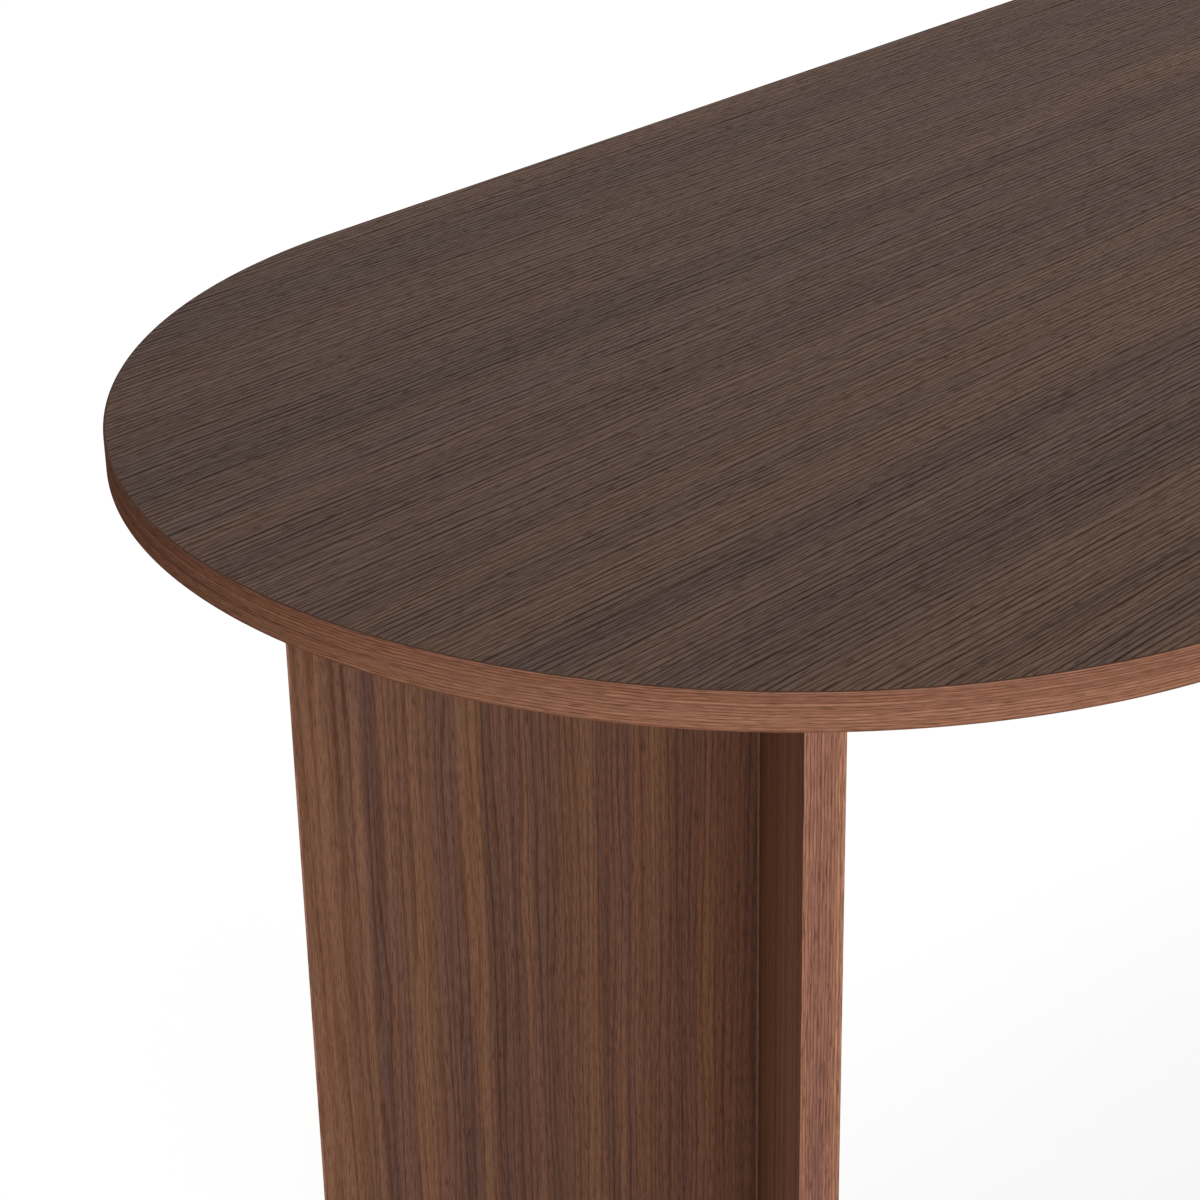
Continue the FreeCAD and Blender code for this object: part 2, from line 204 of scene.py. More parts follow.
# %% [markdown]
# ## World and lamps
# The front of the rim is bright and its left side falls to a third of that, so the key is one large low lamp
# at the front right. A second lamp, high behind the table, lights the top, and the world's weak warm glow
# fills the inside of the legs. Where the world itself is seen, it is as white as the floor.

# %% Light the table
WORLD_GLOW = (0.14, 0.123, 0.106, 1.0)
KEY_PLACE = Vector((-2.77, -4.47, 1.5))
KEY_AIM = Vector((-0.45, -0.1, 0.62))
KEY_SIZE = (4.6, 2.4)
KEY_POWER = 190.0
FILL_PLACE = Vector((2.2, 2.9, 4.4))
FILL_SIZE = (3.0, 3.0)
FILL_POWER = 270.0

world = bpy.data.worlds.new("studio_world")
bpy.context.scene.world = world
world.use_nodes = True
world_tree = world.node_tree
world_colour = mix_colour(world_tree, background_switch(world_tree), WORLD_GLOW, WHITE)
world_tree.links.new(world_colour, world_tree.nodes["Background"].inputs["Color"])


def add_softbox(name, place, size, power):
    """A large lamp, of a given width and height, that faces the table."""
    bpy.ops.object.light_add(type="AREA", location=place)
    lamp = bpy.context.object
    lamp.name = name
    lamp.rotation_mode = "QUATERNION"
    lamp.rotation_quaternion = (KEY_AIM - place).to_track_quat("-Z", "Y")
    lamp.data.shape = "RECTANGLE"
    lamp.data.size, lamp.data.size_y = size
    lamp.data.energy = power
    return lamp


add_softbox("key_softbox", KEY_PLACE, KEY_SIZE, KEY_POWER)
add_softbox("back_fill", FILL_PLACE, FILL_SIZE, FILL_POWER).visible_glossy = False
print("key lamp", round((KEY_AIM - KEY_PLACE).length, 2), "m from the table's end")

# %% [markdown]
# ## Growth rings
# Every wooden face on this table is printed walnut. A board cut beside the heart of the tree shows wide
# arched rings over the heart and narrow straight ones at the sides, so the rings are drawn from the distance
# between a point and a heart line under the face. Noise makes that line wander and changes its depth, so
# that the arches are never quite even.

# %% Place the heart line
# Noise sizes are in metres: along, across and through the grain
DRIFT_SIZE = (0.7, 0.12, 0.3)
SWELL_SIZE = (0.9, 0.6, 0.6)
# The parts of a turn in which a line darkens and then ends
LINE_START = (0.42, 0.78)
LINE_END = (0.8, 0.98)


def centred(tree, value, amount):
    """A noise value moved to lie about nought and scaled."""
    return calc(tree, "MULTIPLY", calc(tree, "SUBTRACT", value, 0.5), amount)


def line_profile(group, phase):
    """One dark line in each whole turn of the phase, with a slow start and a sharp end."""
    turn = calc(group, "FRACT", phase)
    return calc(group, "MULTIPLY", remap(group, turn, *LINE_START), remap(group, turn, *LINE_END, 1.0, 0.0))


def heart_distance(group, source, across):
    """How far a point lies to the side of the heart line, and how far from it in all."""
    drift = stretched_noise(group, source["Grain"], DRIFT_SIZE, detail=1.0)
    swell = stretched_noise(group, source["Grain"], SWELL_SIZE, detail=0.0)
    side = calc(group, "ADD", across, centred(group, drift, source["Wander"]))
    side = calc(group, "SUBTRACT", side, source["Heart Offset"])
    depth = calc(group, "MULTIPLY", source["Heart Depth"], calc(group, "ADD", swell, 0.5))
    squares = calc(group, "ADD", calc(group, "POWER", side, 2.0), calc(group, "POWER", depth, 2.0))
    return side, calc(group, "SQRT", squares)


print("the heart line drifts over", DRIFT_SIZE[0], "m")

# %% [markdown]
# ## Broad and fine lines
# The distance from the heart line, divided by the ring spacing, counts the rings. Noise added to that count
# bends the lines, makes them ragged and crowds them in places. A last noise fades the broad lines, and the
# finer lines show where the broad ones are weak. Far from the heart lies the paler sapwood.

# %% Draw growth rings
SHAKE_SIZE = (0.14, 0.013, 0.05)
SHAKE_TURNS = 2.2
FUZZ_SIZE = (0.04, 0.0016, 0.004)
FUZZ_TURNS = 0.3
PITCH_SCALE = 0.45
PITCH_TURNS = 1.2
FADE_SIZE = (0.10, 0.008, 0.05)
BROAD_FADE = (0.3, 0.6, 0.3, 1.0)
FINE_FADE = (0.42, 0.62, 0.7, 0.1)
FINE_RINGS = 1.6
SAPWOOD_REACH = (0.18, 0.36)


def ring_lines(group, source, across):
    """Dark latewood lines, broad ones with finer ones between, and how far out sapwood lies."""
    side, distance = heart_distance(group, source, across)
    shorten = calc(group, "DIVIDE", 1.0, source["Line Length"])
    scale = add_node(group, "ShaderNodeCombineXYZ", {"X": shorten, "Y": 1.0, "Z": 1.0}).outputs[0]
    sockets = {0: source["Grain"], 1: scale}
    grain = add_node(group, "ShaderNodeVectorMath", sockets, operation="MULTIPLY").outputs[0]
    shake = centred(group, stretched_noise(group, grain, SHAKE_SIZE, detail=1.0), SHAKE_TURNS)
    fuzz = centred(group, stretched_noise(group, grain, FUZZ_SIZE, detail=1.0), FUZZ_TURNS)
    phase = calc(group, "DIVIDE", distance, source["Ring Spacing"])
    shake = calc(group, "MULTIPLY", shake, source["Unevenness"])
    phase = calc(group, "ADD", phase, calc(group, "ADD", shake, fuzz))
    sockets = {"W": phase, "Scale": PITCH_SCALE, "Detail": 1.0}
    pitch = add_node(group, "ShaderNodeTexNoise", sockets, noise_dimensions="1D").outputs[0]
    pitch = calc(group, "MULTIPLY", centred(group, pitch, PITCH_TURNS), source["Unevenness"])
    phase = calc(group, "ADD", phase, pitch)
    fade = stretched_noise(group, grain, FADE_SIZE, detail=2.0)
    broad = calc(group, "MULTIPLY", line_profile(group, phase), remap(group, fade, *BROAD_FADE))
    fine = line_profile(group, calc(group, "MULTIPLY", phase, FINE_RINGS))
    fine = calc(group, "MULTIPLY", fine, remap(group, fade, *FINE_FADE))
    sapwood = remap(group, calc(group, "ABSOLUTE", side), *SAPWOOD_REACH)
    return calc(group, "MAXIMUM", broad, fine), sapwood


print("fine rings per broad ring:", FINE_RINGS)

# %% [markdown]
# ## Streaks
# Walnut also has broad streaks of redder and greyer wood, which run much further along the board than across
# it. They could be drawn one by one, but soft noise stretched along the grain gives any number of them, and
# its width is an input, because the rim's streaks are far narrower than the top's.

# %% Draw streaks
STREAKS_ALONG = 0.6
STREAKS_THROUGH = 8.0
STREAK_ROUGHNESS = 0.6


def streaks(group, source, shift, detail):
    """Long soft streaks of a given width, in a place of their own."""
    across = calc(group, "DIVIDE", 1.0, source["Streak Width"])
    sockets = {"X": STREAKS_ALONG, "Y": across, "Z": STREAKS_THROUGH}
    scale = add_node(group, "ShaderNodeCombineXYZ", sockets).outputs[0]
    sockets = {0: source["Grain"], 1: scale, 2: shift}
    place = add_node(group, "ShaderNodeVectorMath", sockets, operation="MULTIPLY_ADD").outputs[0]
    values = {"Vector": place, "Scale": 1.0, "Detail": detail, "Roughness": STREAK_ROUGHNESS}
    return add_node(group, "ShaderNodeTexNoise", values).outputs[0]


print("streaks run for about", round(1 / STREAKS_ALONG, 2), "m")

# %% [markdown]
# ## The walnut group
# Rings, streaks, fine fibres and short dark pores go into one node group. The straight-grained top and the
# arched leg boards then share it, each with its own ring spacing, heart line and streak width.

# %% Build the walnut group
WALNUT_INPUTS = {
    "Ring Spacing": 0.004,
    "Heart Offset": 0.0,
    "Heart Depth": 0.05,
    "Wander": 0.006,
    "Unevenness": 1.0,
    "Line Length": 1.0,
    "Streak Width": 0.04,
}
FIBRE_SIZE = (0.012, 0.0011, 0.01)
FIBRE_ROUGHNESS = 0.6
PORE_SIZE = (0.014, 0.0009, 0.01)
PORE_RANGE = (0.55, 0.70)
STREAK_RANGE = (0.28, 0.72)
STREAK_SHIFT = (0.0, 0.0, 0.0)
STREAK_DETAIL = 2.5
WARMTH_RANGE = (0.32, 0.68)
WARMTH_SHIFT = (7.3, 31.7, 3.1)
WARMTH_DETAIL = 2.0


def build_walnut_group():
    """Masks of a walnut board, from grain coordinates in metres: X along, Y across, Z through."""
    group = bpy.data.node_groups.new("walnut_figure", "ShaderNodeTree")
    group.interface.new_socket("Grain", in_out="INPUT", socket_type="NodeSocketVector")
    for name, value in WALNUT_INPUTS.items():
        socket = group.interface.new_socket(name, in_out="INPUT", socket_type="NodeSocketFloat")
        socket.default_value = value
    source = add_node(group, "NodeGroupInput").outputs
    grain = source["Grain"]
    across = add_node(group, "ShaderNodeSeparateXYZ", {0: grain}).outputs["Y"]
    pores = stretched_noise(group, grain, PORE_SIZE, detail=1.0)
    rings, sapwood = ring_lines(group, source, across)
    masks = {
        "Rings": rings,
        "Sapwood": sapwood,
        "Streak": remap(group, streaks(group, source, STREAK_SHIFT, STREAK_DETAIL), *STREAK_RANGE),
        "Warmth": remap(group, streaks(group, source, WARMTH_SHIFT, WARMTH_DETAIL), *WARMTH_RANGE),
        "Fibre": stretched_noise(group, grain, FIBRE_SIZE, detail=2.0, roughness=FIBRE_ROUGHNESS),
        "Pores": remap(group, pores, *PORE_RANGE),
    }
    for name in masks:
        group.interface.new_socket(name, in_out="OUTPUT", socket_type="NodeSocketFloat")
    finish = add_node(group, "NodeGroupOutput").inputs
    for name, value in masks.items():
        group.links.new(value, finish[name])
    return group


walnut_group = build_walnut_group()
print("walnut group sockets:", [item.name for item in walnut_group.interface.items_tree])

# %% [markdown]
# ## Where the grain runs
# The grain directions come from the piece itself: along the table on the top, upright on the legs, and
# round the edge on the rim, where a UV map measured in metres follows the curve. A board may also have
# streaks of its own, which are placed one by one where the photograph shows them.


# %% Lay out the grain
def grain_from_object(tree, along, across, origin):
    """Grain coordinates for a flat piece: its own directions, measured from a chosen point."""
    along, across = Vector(along), Vector(across)
    turn = Matrix((along, across, along.cross(across)))
    place = -(turn @ Vector(origin))
    coordinates = add_node(tree, "ShaderNodeTexCoord").outputs["Object"]
    sockets = {"Vector": coordinates, "Location": place, "Rotation": turn.to_euler()}
    return add_node(tree, "ShaderNodeMapping", sockets).outputs[0]


def grain_from_map(tree, name):
    """Grain coordinates for a curved piece, from its UV map in metres."""
    return add_node(tree, "ShaderNodeUVMap", uv_map=name).outputs[0]


WOBBLE_SIZE = (0.35, 0.03, 0.1)
WOBBLE_REACH = 0.012


def accent_streaks(tree, grain, accents):
    """Chosen streaks of a board, each a place, a half width and a strength, negative for a dark one."""
    wobble = stretched_noise(tree, grain, WOBBLE_SIZE, detail=1.0)
    across = add_node(tree, "ShaderNodeSeparateXYZ", {0: grain}).outputs["Y"]
    across = calc(tree, "ADD", across, centred(tree, wobble, WOBBLE_REACH))
    total = 0.0
    for place, half_width, strength in accents:
        distance = calc(tree, "ABSOLUTE", calc(tree, "SUBTRACT", across, place))
        total = calc(tree, "ADD", remap(tree, distance, 0.0, half_width, strength, 0.0), total)
    return total


print("streaks wobble by", WOBBLE_REACH / 2, "m to each side")

# %% [markdown]
# ## The colour of the print
# Five colours make one walnut: the dark rings, the dark streaks, cooler wood, warmer wood and the light
# streaks. The masks blend from one to the next, the fibres vary the shade a little, and the rings and pores
# are laid on last, so that they stay crisp.

# %% Colour the wood
FIBRE_RANGE = (0.25, 0.75)


def wood_colour(tree, masks, colours, surface, sapwood, accent):
    """The print's colour. Its colours are the rings, dark streaks, cool wood, warm wood, light streaks."""
    ring_colour, dark, cool, warm, light = colours
    colour = mix_colour(tree, masks["Warmth"], cool, warm)
    colour = mix_colour(tree, remap(tree, masks["Streak"], 0.0, 0.5, 1.0, 0.0), colour, dark)
    colour = mix_colour(tree, remap(tree, masks["Streak"], 0.5, 1.0), colour, light)
    if accent is not None:
        colour = mix_colour(tree, calc(tree, "MAXIMUM", accent, 0.0), colour, light)
        darker = calc(tree, "MULTIPLY", calc(tree, "MINIMUM", accent, 0.0), -1.0)
        colour = mix_colour(tree, darker, colour, dark)
    fibre = remap(tree, masks["Fibre"], *FIBRE_RANGE, 1.0 - surface["fibre"], 1.0 + surface["fibre"])
    fibre = calc(tree, "MULTIPLY", fibre, calc(tree, "MULTIPLY_ADD", masks["Sapwood"], sapwood, 1.0))
    grey = add_node(tree, "ShaderNodeCombineColor", {0: fibre, 1: fibre, 2: fibre}).outputs[0]
    colour = mix_colour(tree, 1.0, colour, grey, "MULTIPLY")
    for mask, depth in (("Rings", surface["rings"]), ("Pores", surface["pores"])):
        colour = mix_colour(tree, calc(tree, "MULTIPLY", masks[mask], depth), colour, ring_colour)
    return colour


print("fibre noise is read from", FIBRE_RANGE[0], "to", FIBRE_RANGE[1])

# %% [markdown]
# ## The walnut finish
# A finish adds a slight relief and a satin coat to the colour. The print's dark lines and pores are also
# pressed into the laminate, so the coat is broken there and the lines stay dull when the board catches the
# light. The coat's own smoothness is the same everywhere, so it sits on the shader itself.

# %% Make a walnut finish
COAT_ROUGHNESS = 0.45
RELIEF_DEPTH = 0.0004
FIBRE_HEIGHT = 0.4
GLOSS_RANGE = (0.2, 1.2)


def walnut(name, grain, colours, figure, surface, sapwood=0.0, accents=()):
    """A walnut finish on the grain coordinates that a function lays out in its node tree."""
    material, tree, shader = new_material(name)
    group = add_node(tree, "ShaderNodeGroup", figure, node_tree=walnut_group)
    place = grain(tree)
    tree.links.new(place, group.inputs["Grain"])
    masks = group.outputs
    accent = accent_streaks(tree, place, accents) if accents else None
    groove = calc(tree, "MAXIMUM", masks["Rings"], masks["Pores"])
    height = calc(tree, "MULTIPLY_ADD", masks["Fibre"], FIBRE_HEIGHT, calc(tree, "MULTIPLY", groove, -1.0))
    sockets = {"Height": height, "Strength": surface["relief"], "Distance": RELIEF_DEPTH}
    links = {
        "Base Color": wood_colour(tree, masks, colours, surface, sapwood, accent),
        "Roughness": remap(tree, calc(tree, "ADD", masks["Fibre"], groove), *GLOSS_RANGE, *surface["gloss"]),
        "Coat Weight": calc(tree, "MULTIPLY_ADD", groove, -surface["coat"], surface["coat"]),
        "Normal": add_node(tree, "ShaderNodeBump", sockets).outputs[0],
    }
    for socket, value in links.items():
        tree.links.new(value, shader.inputs[socket])
    shader.inputs["Coat Roughness"].default_value = COAT_ROUGHNESS
    shader.inputs["Specular IOR Level"].default_value = 0.0
    return material


print("lines are pressed", RELIEF_DEPTH * 1000, "mm deep")

# %% [markdown]
# ## The top's finish
# The top is the darkest walnut on the table: fine straight lines about five millimetres apart on a brown
# that turns from greyer to warmer in broad streaks. The streaks that the photograph shows are listed by
# their distance across the sheet, and the group's own noise fills in the rest.

# %% Finish the top
TOP_COLOURS = (srgb(29, 20, 17), srgb(80, 61, 54), srgb(87, 68, 61), srgb(94, 71, 56), srgb(101, 78, 63))
TOP_FIGURE = {
    "Ring Spacing": 0.0048,
    "Heart Depth": 0.0,
    "Wander": 0.009,
    "Unevenness": 0.52,
    "Line Length": 0.8,
    "Streak Width": 0.075,
}
TOP_SURFACE = {
    "rings": 0.64,
    "pores": 0.25,
    "fibre": 0.2,
    "relief": 0.6,
    "gloss": (0.36, 0.56),
    "coat": 0.36,
}
TOP_STREAKS = [
    (1.29, 0.065, 0.8),
    (1.48, 0.055, 0.8),
    (1.57, 0.040, -0.5),
    (1.66, 0.070, -0.6),
    (1.855, 0.040, -0.8),
    (1.98, 0.090, -1.0),
]
LENGTHWAYS = (1, 0, 0)
CROSSWAYS = (0, 1, 0)
TOP_SHEET_CORNER = (0.3, -1.6, 0.75)

top_finish = walnut(
    "walnut_top",
    lambda tree: grain_from_object(tree, LENGTHWAYS, CROSSWAYS, TOP_SHEET_CORNER),
    TOP_COLOURS,
    TOP_FIGURE,
    TOP_SURFACE,
    accents=TOP_STREAKS,
)
print("top finish has", len(top_finish.node_tree.nodes), "nodes")

# %% [markdown]
# ## Helpers for new pieces
# Two pieces are remade with finer round ends. Both start as a full round shape whose halves are moved apart,
# so one helper picks points in edit mode, one parts the halves, and one lets the new piece stand for its
# solid.


# %% Select, part and finish a piece
def select_points(mesh_object, wanted):
    """In edit mode's vertex mode, select the points that a test picks."""
    bpy.ops.object.mode_set(mode="EDIT")
    bpy.ops.mesh.select_mode(type="VERT")
    bpy.ops.mesh.select_all(action="DESELECT")
    bpy.ops.object.mode_set(mode="OBJECT")
    for vertex in mesh_object.data.vertices:
        vertex.select = wanted(vertex.co)
    bpy.ops.object.mode_set(mode="EDIT")


def part_halves(piece, half_straight):
    """Move the two halves of a round shape apart, so that straight sides join them."""
    for side in (-1, 1):
        select_points(piece, lambda place: place.x * side > 0)
        bpy.ops.transform.translate(value=(side * half_straight, 0, 0))
    bpy.ops.object.mode_set(mode="OBJECT")


def finish_piece(piece, name, node, material):
    """Name a new piece, let it stand for its solid, and give it its finish."""
    piece.name = name
    piece.data.name = name
    piece.data.materials.clear()
    piece.data.materials.append(material)
    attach(piece, "root")
    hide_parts(node)


print("pieces to remake: the face laminate and the rim band")

# %% [markdown]
# ## The face of the top
# The top's face is a thin sheet of laminate in the shape of a racetrack. The loaded solid draws its round
# ends with few straight pieces, so the sheet is remade from a circle of many points: the circle's two halves
# are moved apart to leave straight sides, and the outline is extruded to its thickness.

# %% Remake the face laminate
ROUND_STEPS = 360
HALF_STEP = math.pi / ROUND_STEPS
TABLE_LENGTH = 1.8

low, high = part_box("top_face_laminate")
face_radius = (high.y - low.y) / 2
rim_low, rim_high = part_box("top_edge_band")
rim_radius = (rim_high.y - rim_low.y) / 2
half_straight = TABLE_LENGTH / 2 - rim_radius

bpy.ops.object.select_all(action="DESELECT")
bpy.ops.mesh.primitive_circle_add(vertices=ROUND_STEPS, radius=face_radius, fill_type="NGON")
face = bpy.context.object
bpy.ops.object.mode_set(mode="EDIT")
bpy.ops.mesh.select_all(action="SELECT")
bpy.ops.transform.rotate(value=HALF_STEP, orient_axis="Z", center_override=(0, 0, 0))
bpy.ops.transform.translate(value=(0, 0, low.z))
bpy.ops.mesh.extrude_region_move(TRANSFORM_OT_translate={"value": (0, 0, high.z - low.z)})
bpy.ops.mesh.select_all(action="SELECT")
bpy.ops.mesh.normals_make_consistent(inside=False)
part_halves(face, half_straight)
finish_piece(face, "top_face", "top_face_laminate", top_finish)
print("face sheet", [round(value, 4) for value in face.dimensions])

# %% [markdown]
# ## The rim band's shape
# A band of the same décor, lighter than the face, is glued round the rim and its two arrises are rounded
# over. Its section is drawn once and spun into a ring, which keeps the rounding even all the way, and the
# ring's halves are then moved apart like those of the face.

# %% Make the rim band
ARRIS = 0.0008
ARRIS_STEPS = 4
SECTION_SIZE = 0.01
MERGE_DISTANCE = 1e-6
SMOOTH_BELOW = math.radians(40)
band_thickness = rim_radius - face_radius


def band_section(radius, bottom, top):
    """The band's outline, from its inner top corner over the outside to its inner bottom corner."""
    points = [(radius - band_thickness, top)]
    for start, centre_z in ((90, top - ARRIS), (0, bottom + ARRIS)):
        for step in range(ARRIS_STEPS + 1):
            angle = math.radians(start - 90 * step / ARRIS_STEPS)
            points.append((radius - ARRIS + ARRIS * math.cos(angle), centre_z + ARRIS * math.sin(angle)))
    points.append((radius - band_thickness, bottom))
    return points


def spin_ring(section):
    """Spin a closed outline of (radius, height) points about the upright axis."""
    bpy.ops.object.select_all(action="DESELECT")
    bpy.ops.mesh.primitive_circle_add(vertices=len(section), radius=SECTION_SIZE, fill_type="NOTHING")
    ring = bpy.context.object
    for vertex, (radius, height) in zip(ring.data.vertices, section):
        vertex.co = (radius, 0, height)
    bpy.ops.object.mode_set(mode="EDIT")
    bpy.ops.mesh.select_all(action="SELECT")
    bpy.ops.transform.rotate(value=HALF_STEP, orient_axis="Z", center_override=(0, 0, 0))
    bpy.ops.mesh.spin(steps=ROUND_STEPS, angle=2 * math.pi, center=(0, 0, 0), axis=(0, 0, 1))
    bpy.ops.mesh.select_all(action="SELECT")
    bpy.ops.mesh.remove_doubles(threshold=MERGE_DISTANCE)
    bpy.ops.mesh.normals_make_consistent(inside=False)
    bpy.ops.object.mode_set(mode="OBJECT")
    return ring


rim = spin_ring(band_section(rim_radius, rim_low.z, rim_high.z))
part_halves(rim, half_straight)
bpy.ops.object.shade_smooth_by_angle(angle=SMOOTH_BELOW)
print("rim band", [round(value, 4) for value in rim.dimensions])

# %% [markdown]
# ## The rim band's grain
# The grain has to run round the edge, so each corner of the mesh gets a map coordinate: how far it lies
# along the rim and how high up. The faces that close the ring span the place where the distance jumps back
# to nought, so their low values are raised by the whole length of the rim.


# %% Measure along the rim
def rim_distance(place):
    """How far a point lies along the rim, from the middle of the east end, going round by +Y."""
    quarter = rim_radius * math.pi / 2
    straight = 2 * half_straight
    if place.x > half_straight:
        angle = math.atan2(place.y, place.x - half_straight)
        start = 0.0 if angle >= 0 else 4 * quarter + 2 * straight
        return start + rim_radius * angle
    if place.x < -half_straight:
        angle = math.atan2(place.y, place.x + half_straight) % (2 * math.pi)
        return straight + rim_radius * angle
    if place.y > 0:
        return quarter + half_straight - place.x
    return 3 * quarter + straight + half_straight + place.x


def map_rim(ring, name):
    """Write a UV map in metres: along the rim, and up it. Returns the rim's length."""
    whole_rim = 2 * math.pi * rim_radius + 4 * half_straight
    layer = ring.data.uv_layers.new(name=name)
    for polygon in ring.data.polygons:
        along = [rim_distance(ring.data.vertices[index].co) for index in polygon.vertices]
        if max(along) - min(along) > whole_rim / 2:
            along = [value + whole_rim if value < whole_rim / 2 else value for value in along]
        for loop, distance in zip(polygon.loop_indices, along):
            place = ring.data.vertices[ring.data.loops[loop].vertex_index].co
            layer.data[loop].uv = (distance, place.z)
    return whole_rim


print("round the rim:", round(map_rim(rim, "rim_map"), 3), "m")

# %% [markdown]
# ## The rim band's finish
# The band's print is lighter and redder than the face, with finer lines. Where the band is trimmed flush
# with the face, its dark core shows instead of the print. That dark strip is also painted shade over the
# light that the back lamp throws on it, and so the photograph has no pale line between the two.

# %% Finish the rim band
# Painted shade as well as the band's core: it darkens the band's top strip that the back lamp would light
BAND_CORE_AND_PAINTED_SHADE = srgb(84, 62, 53)
RIM_COLOURS = (
    srgb(74, 41, 28),
    srgb(125, 86, 74),
    srgb(142, 99, 85),
    srgb(155, 107, 84),
    srgb(169, 121, 97),
)
BAND_FIGURE = {
    "Ring Spacing": 0.0021,
    "Heart Depth": 0.0,
    "Wander": 0.002,
    "Unevenness": 0.5,
    "Line Length": 0.35,
    "Streak Width": 0.008,
}
BAND_SURFACE = {
    "rings": 0.64,
    "pores": 0.4,
    "fibre": 0.2,
    "relief": 0.3,
    "gloss": (0.34, 0.5),
    "coat": 0.06,
}
TRIM_STARTS = 0.6 * ARRIS
TRIM_ENDS = 0.2 * ARRIS


def paint_shade_on_trimmed_edge(material, height, colour):
    """Show a band's core, which is also painted shade, at the height where the band is trimmed flush with the
    face.
    """
    tree = material.node_tree
    base = tree.nodes["Principled BSDF"].inputs["Base Color"]
    place = add_node(tree, "ShaderNodeTexCoord").outputs["Object"]
    up = add_node(tree, "ShaderNodeSeparateXYZ", {0: place}).outputs["Z"]
    trimmed = remap(tree, up, height - TRIM_STARTS, height - TRIM_ENDS)
    tree.links.new(mix_colour(tree, trimmed, base.links[0].from_socket, colour), base)


rim_finish = walnut(
    "walnut_rim",
    lambda tree: grain_from_map(tree, "rim_map"),
    RIM_COLOURS,
    BAND_FIGURE,
    BAND_SURFACE,
)
paint_shade_on_trimmed_edge(rim_finish, rim_high.z, BAND_CORE_AND_PAINTED_SHADE)
finish_piece(rim, "rim_band", "top_edge_band", rim_finish)
print("rim finish has", len(rim_finish.node_tree.nodes), "nodes")

# %% [markdown]
# ## The leg boards' print
# Each leg is two upright boards at right angles. The grain runs up them, and every board is cut from its
# own part of the sheet, so each gets its own heart line, sapwood and streaks. On the near leg the pale
# sapwood is also painted light: it is placed to lighten the shaded corner of the V and the near board.
# The photograph shows only the two boards of the near leg, and the other leg's boards are given others of
# the same kind.

# %% Describe the leg boards
PANEL_COLOURS = (srgb(54, 32, 24), srgb(94, 64, 53), srgb(111, 76, 64), srgb(118, 80, 61), srgb(136, 95, 70))
PANEL_FIGURE = {
    "Ring Spacing": 0.0050,
    "Wander": 0.018,
    "Unevenness": 0.9,
    "Line Length": 1.5,
    "Streak Width": 0.026,
}
PANEL_SURFACE = {
    "rings": 0.22,
    "pores": 0.26,
    "fibre": 0.22,
    "relief": 0.3,
    "gloss": (0.4, 0.58),
    "coat": 0.6,
}

# Each board: its heart line's distance from the corner and depth, how pale its sapwood is, and its streaks.
# On the near leg's boards the sapwood is painted light, lightening the V's shaded corner and the near board
BOARDS = {
    "west_butt_panel": (
        (0.36, 0.10, 0.75),
        [
            (0.308, 0.024, 0.8),
            (0.273, 0.010, -0.7),
            (0.190, 0.006, -0.8),
            (0.136, 0.034, 0.45),
            (0.120, 0.009, 0.6),
            (0.088, 0.006, 0.6),
        ],
    ),
    "west_through_panel": (
        (-0.24, 0.10, 1.0),
        [(0.050, 0.012, 0.5), (0.210, 0.009, -0.6), (0.265, 0.010, 0.6)],
    ),
    "east_butt_panel": (
        (0.40, 0.10, 0.7),
        [(0.070, 0.010, 0.6), (0.150, 0.007, -0.7), (0.240, 0.012, 0.5)],
    ),
    "east_through_panel": (
        (-0.20, 0.08, 1.0),
        [(0.095, 0.008, -0.7), (0.180, 0.011, 0.7), (0.300, 0.012, 0.6)],
    ),
}
print("leg boards:", len(BOARDS))

# %% [markdown]
# ## The leg boards' edges
# The boards' upright edges and feet carry a light band like the rim's, with its grain upright. Its colours
# are the rim's made lighter, as painted light that makes up for the shade under the top. The band in the
# corner of the V is nearly hidden, and only its cut edge shows, as a thin pale line down the corner, so it
# has a paler finish of its own, which is painted light against the shade in that corner.

# %% Describe the edge bands
# Painted light: the rim band's colours made lighter, so the leg bands in the top's shade look as bright as
# the rim
EDGE_COLOURS_LIGHTENED_FOR_SHADE = (
    srgb(82, 45, 31),
    srgb(147, 105, 92),
    srgb(164, 117, 101),
    srgb(180, 128, 101),
    srgb(195, 143, 115),
)
EDGE_SURFACE = {**BAND_SURFACE, "rings": 0.6, "pores": 0.45}
# Painted light: a paler copy of the edge band's colours, so the cut edge shows through the corner's shade
CUT_EDGE_PAINTED_LIGHT_COLOURS = (
    srgb(120, 80, 60),
    srgb(162, 118, 98),
    srgb(178, 132, 111),
    srgb(182, 135, 111),
    srgb(196, 149, 125),
)
CUT_EDGE_SURFACE = {**BAND_SURFACE, "rings": 0.2}
UPRIGHT = (0, 0, 1)

cut_edge_painted_light_finish = walnut(
    "walnut_cut_edge_painted_light",
    lambda tree: grain_from_object(tree, UPRIGHT, LENGTHWAYS, (0, 0, 0)),
    CUT_EDGE_PAINTED_LIGHT_COLOURS,
    BAND_FIGURE,
    CUT_EDGE_SURFACE,
)
print("cut edge finish has", len(cut_edge_painted_light_finish.node_tree.nodes), "nodes")

# %% [markdown]
# ## The leg boards
# A board's grain is measured from the corner of its V, along the board and up it, so that its streaks keep
# their place on the board. The second leg's boards take their print from further along the sheet, and each
# board's bands turn their grain coordinates to face outwards.

# %% Finish the leg boards
DIAGONAL = math.sqrt(0.5)
LEG_SIDES = {"west": -1, "east": 1}
CORNER_X = 0.474
SHEET_STEP = 1.7


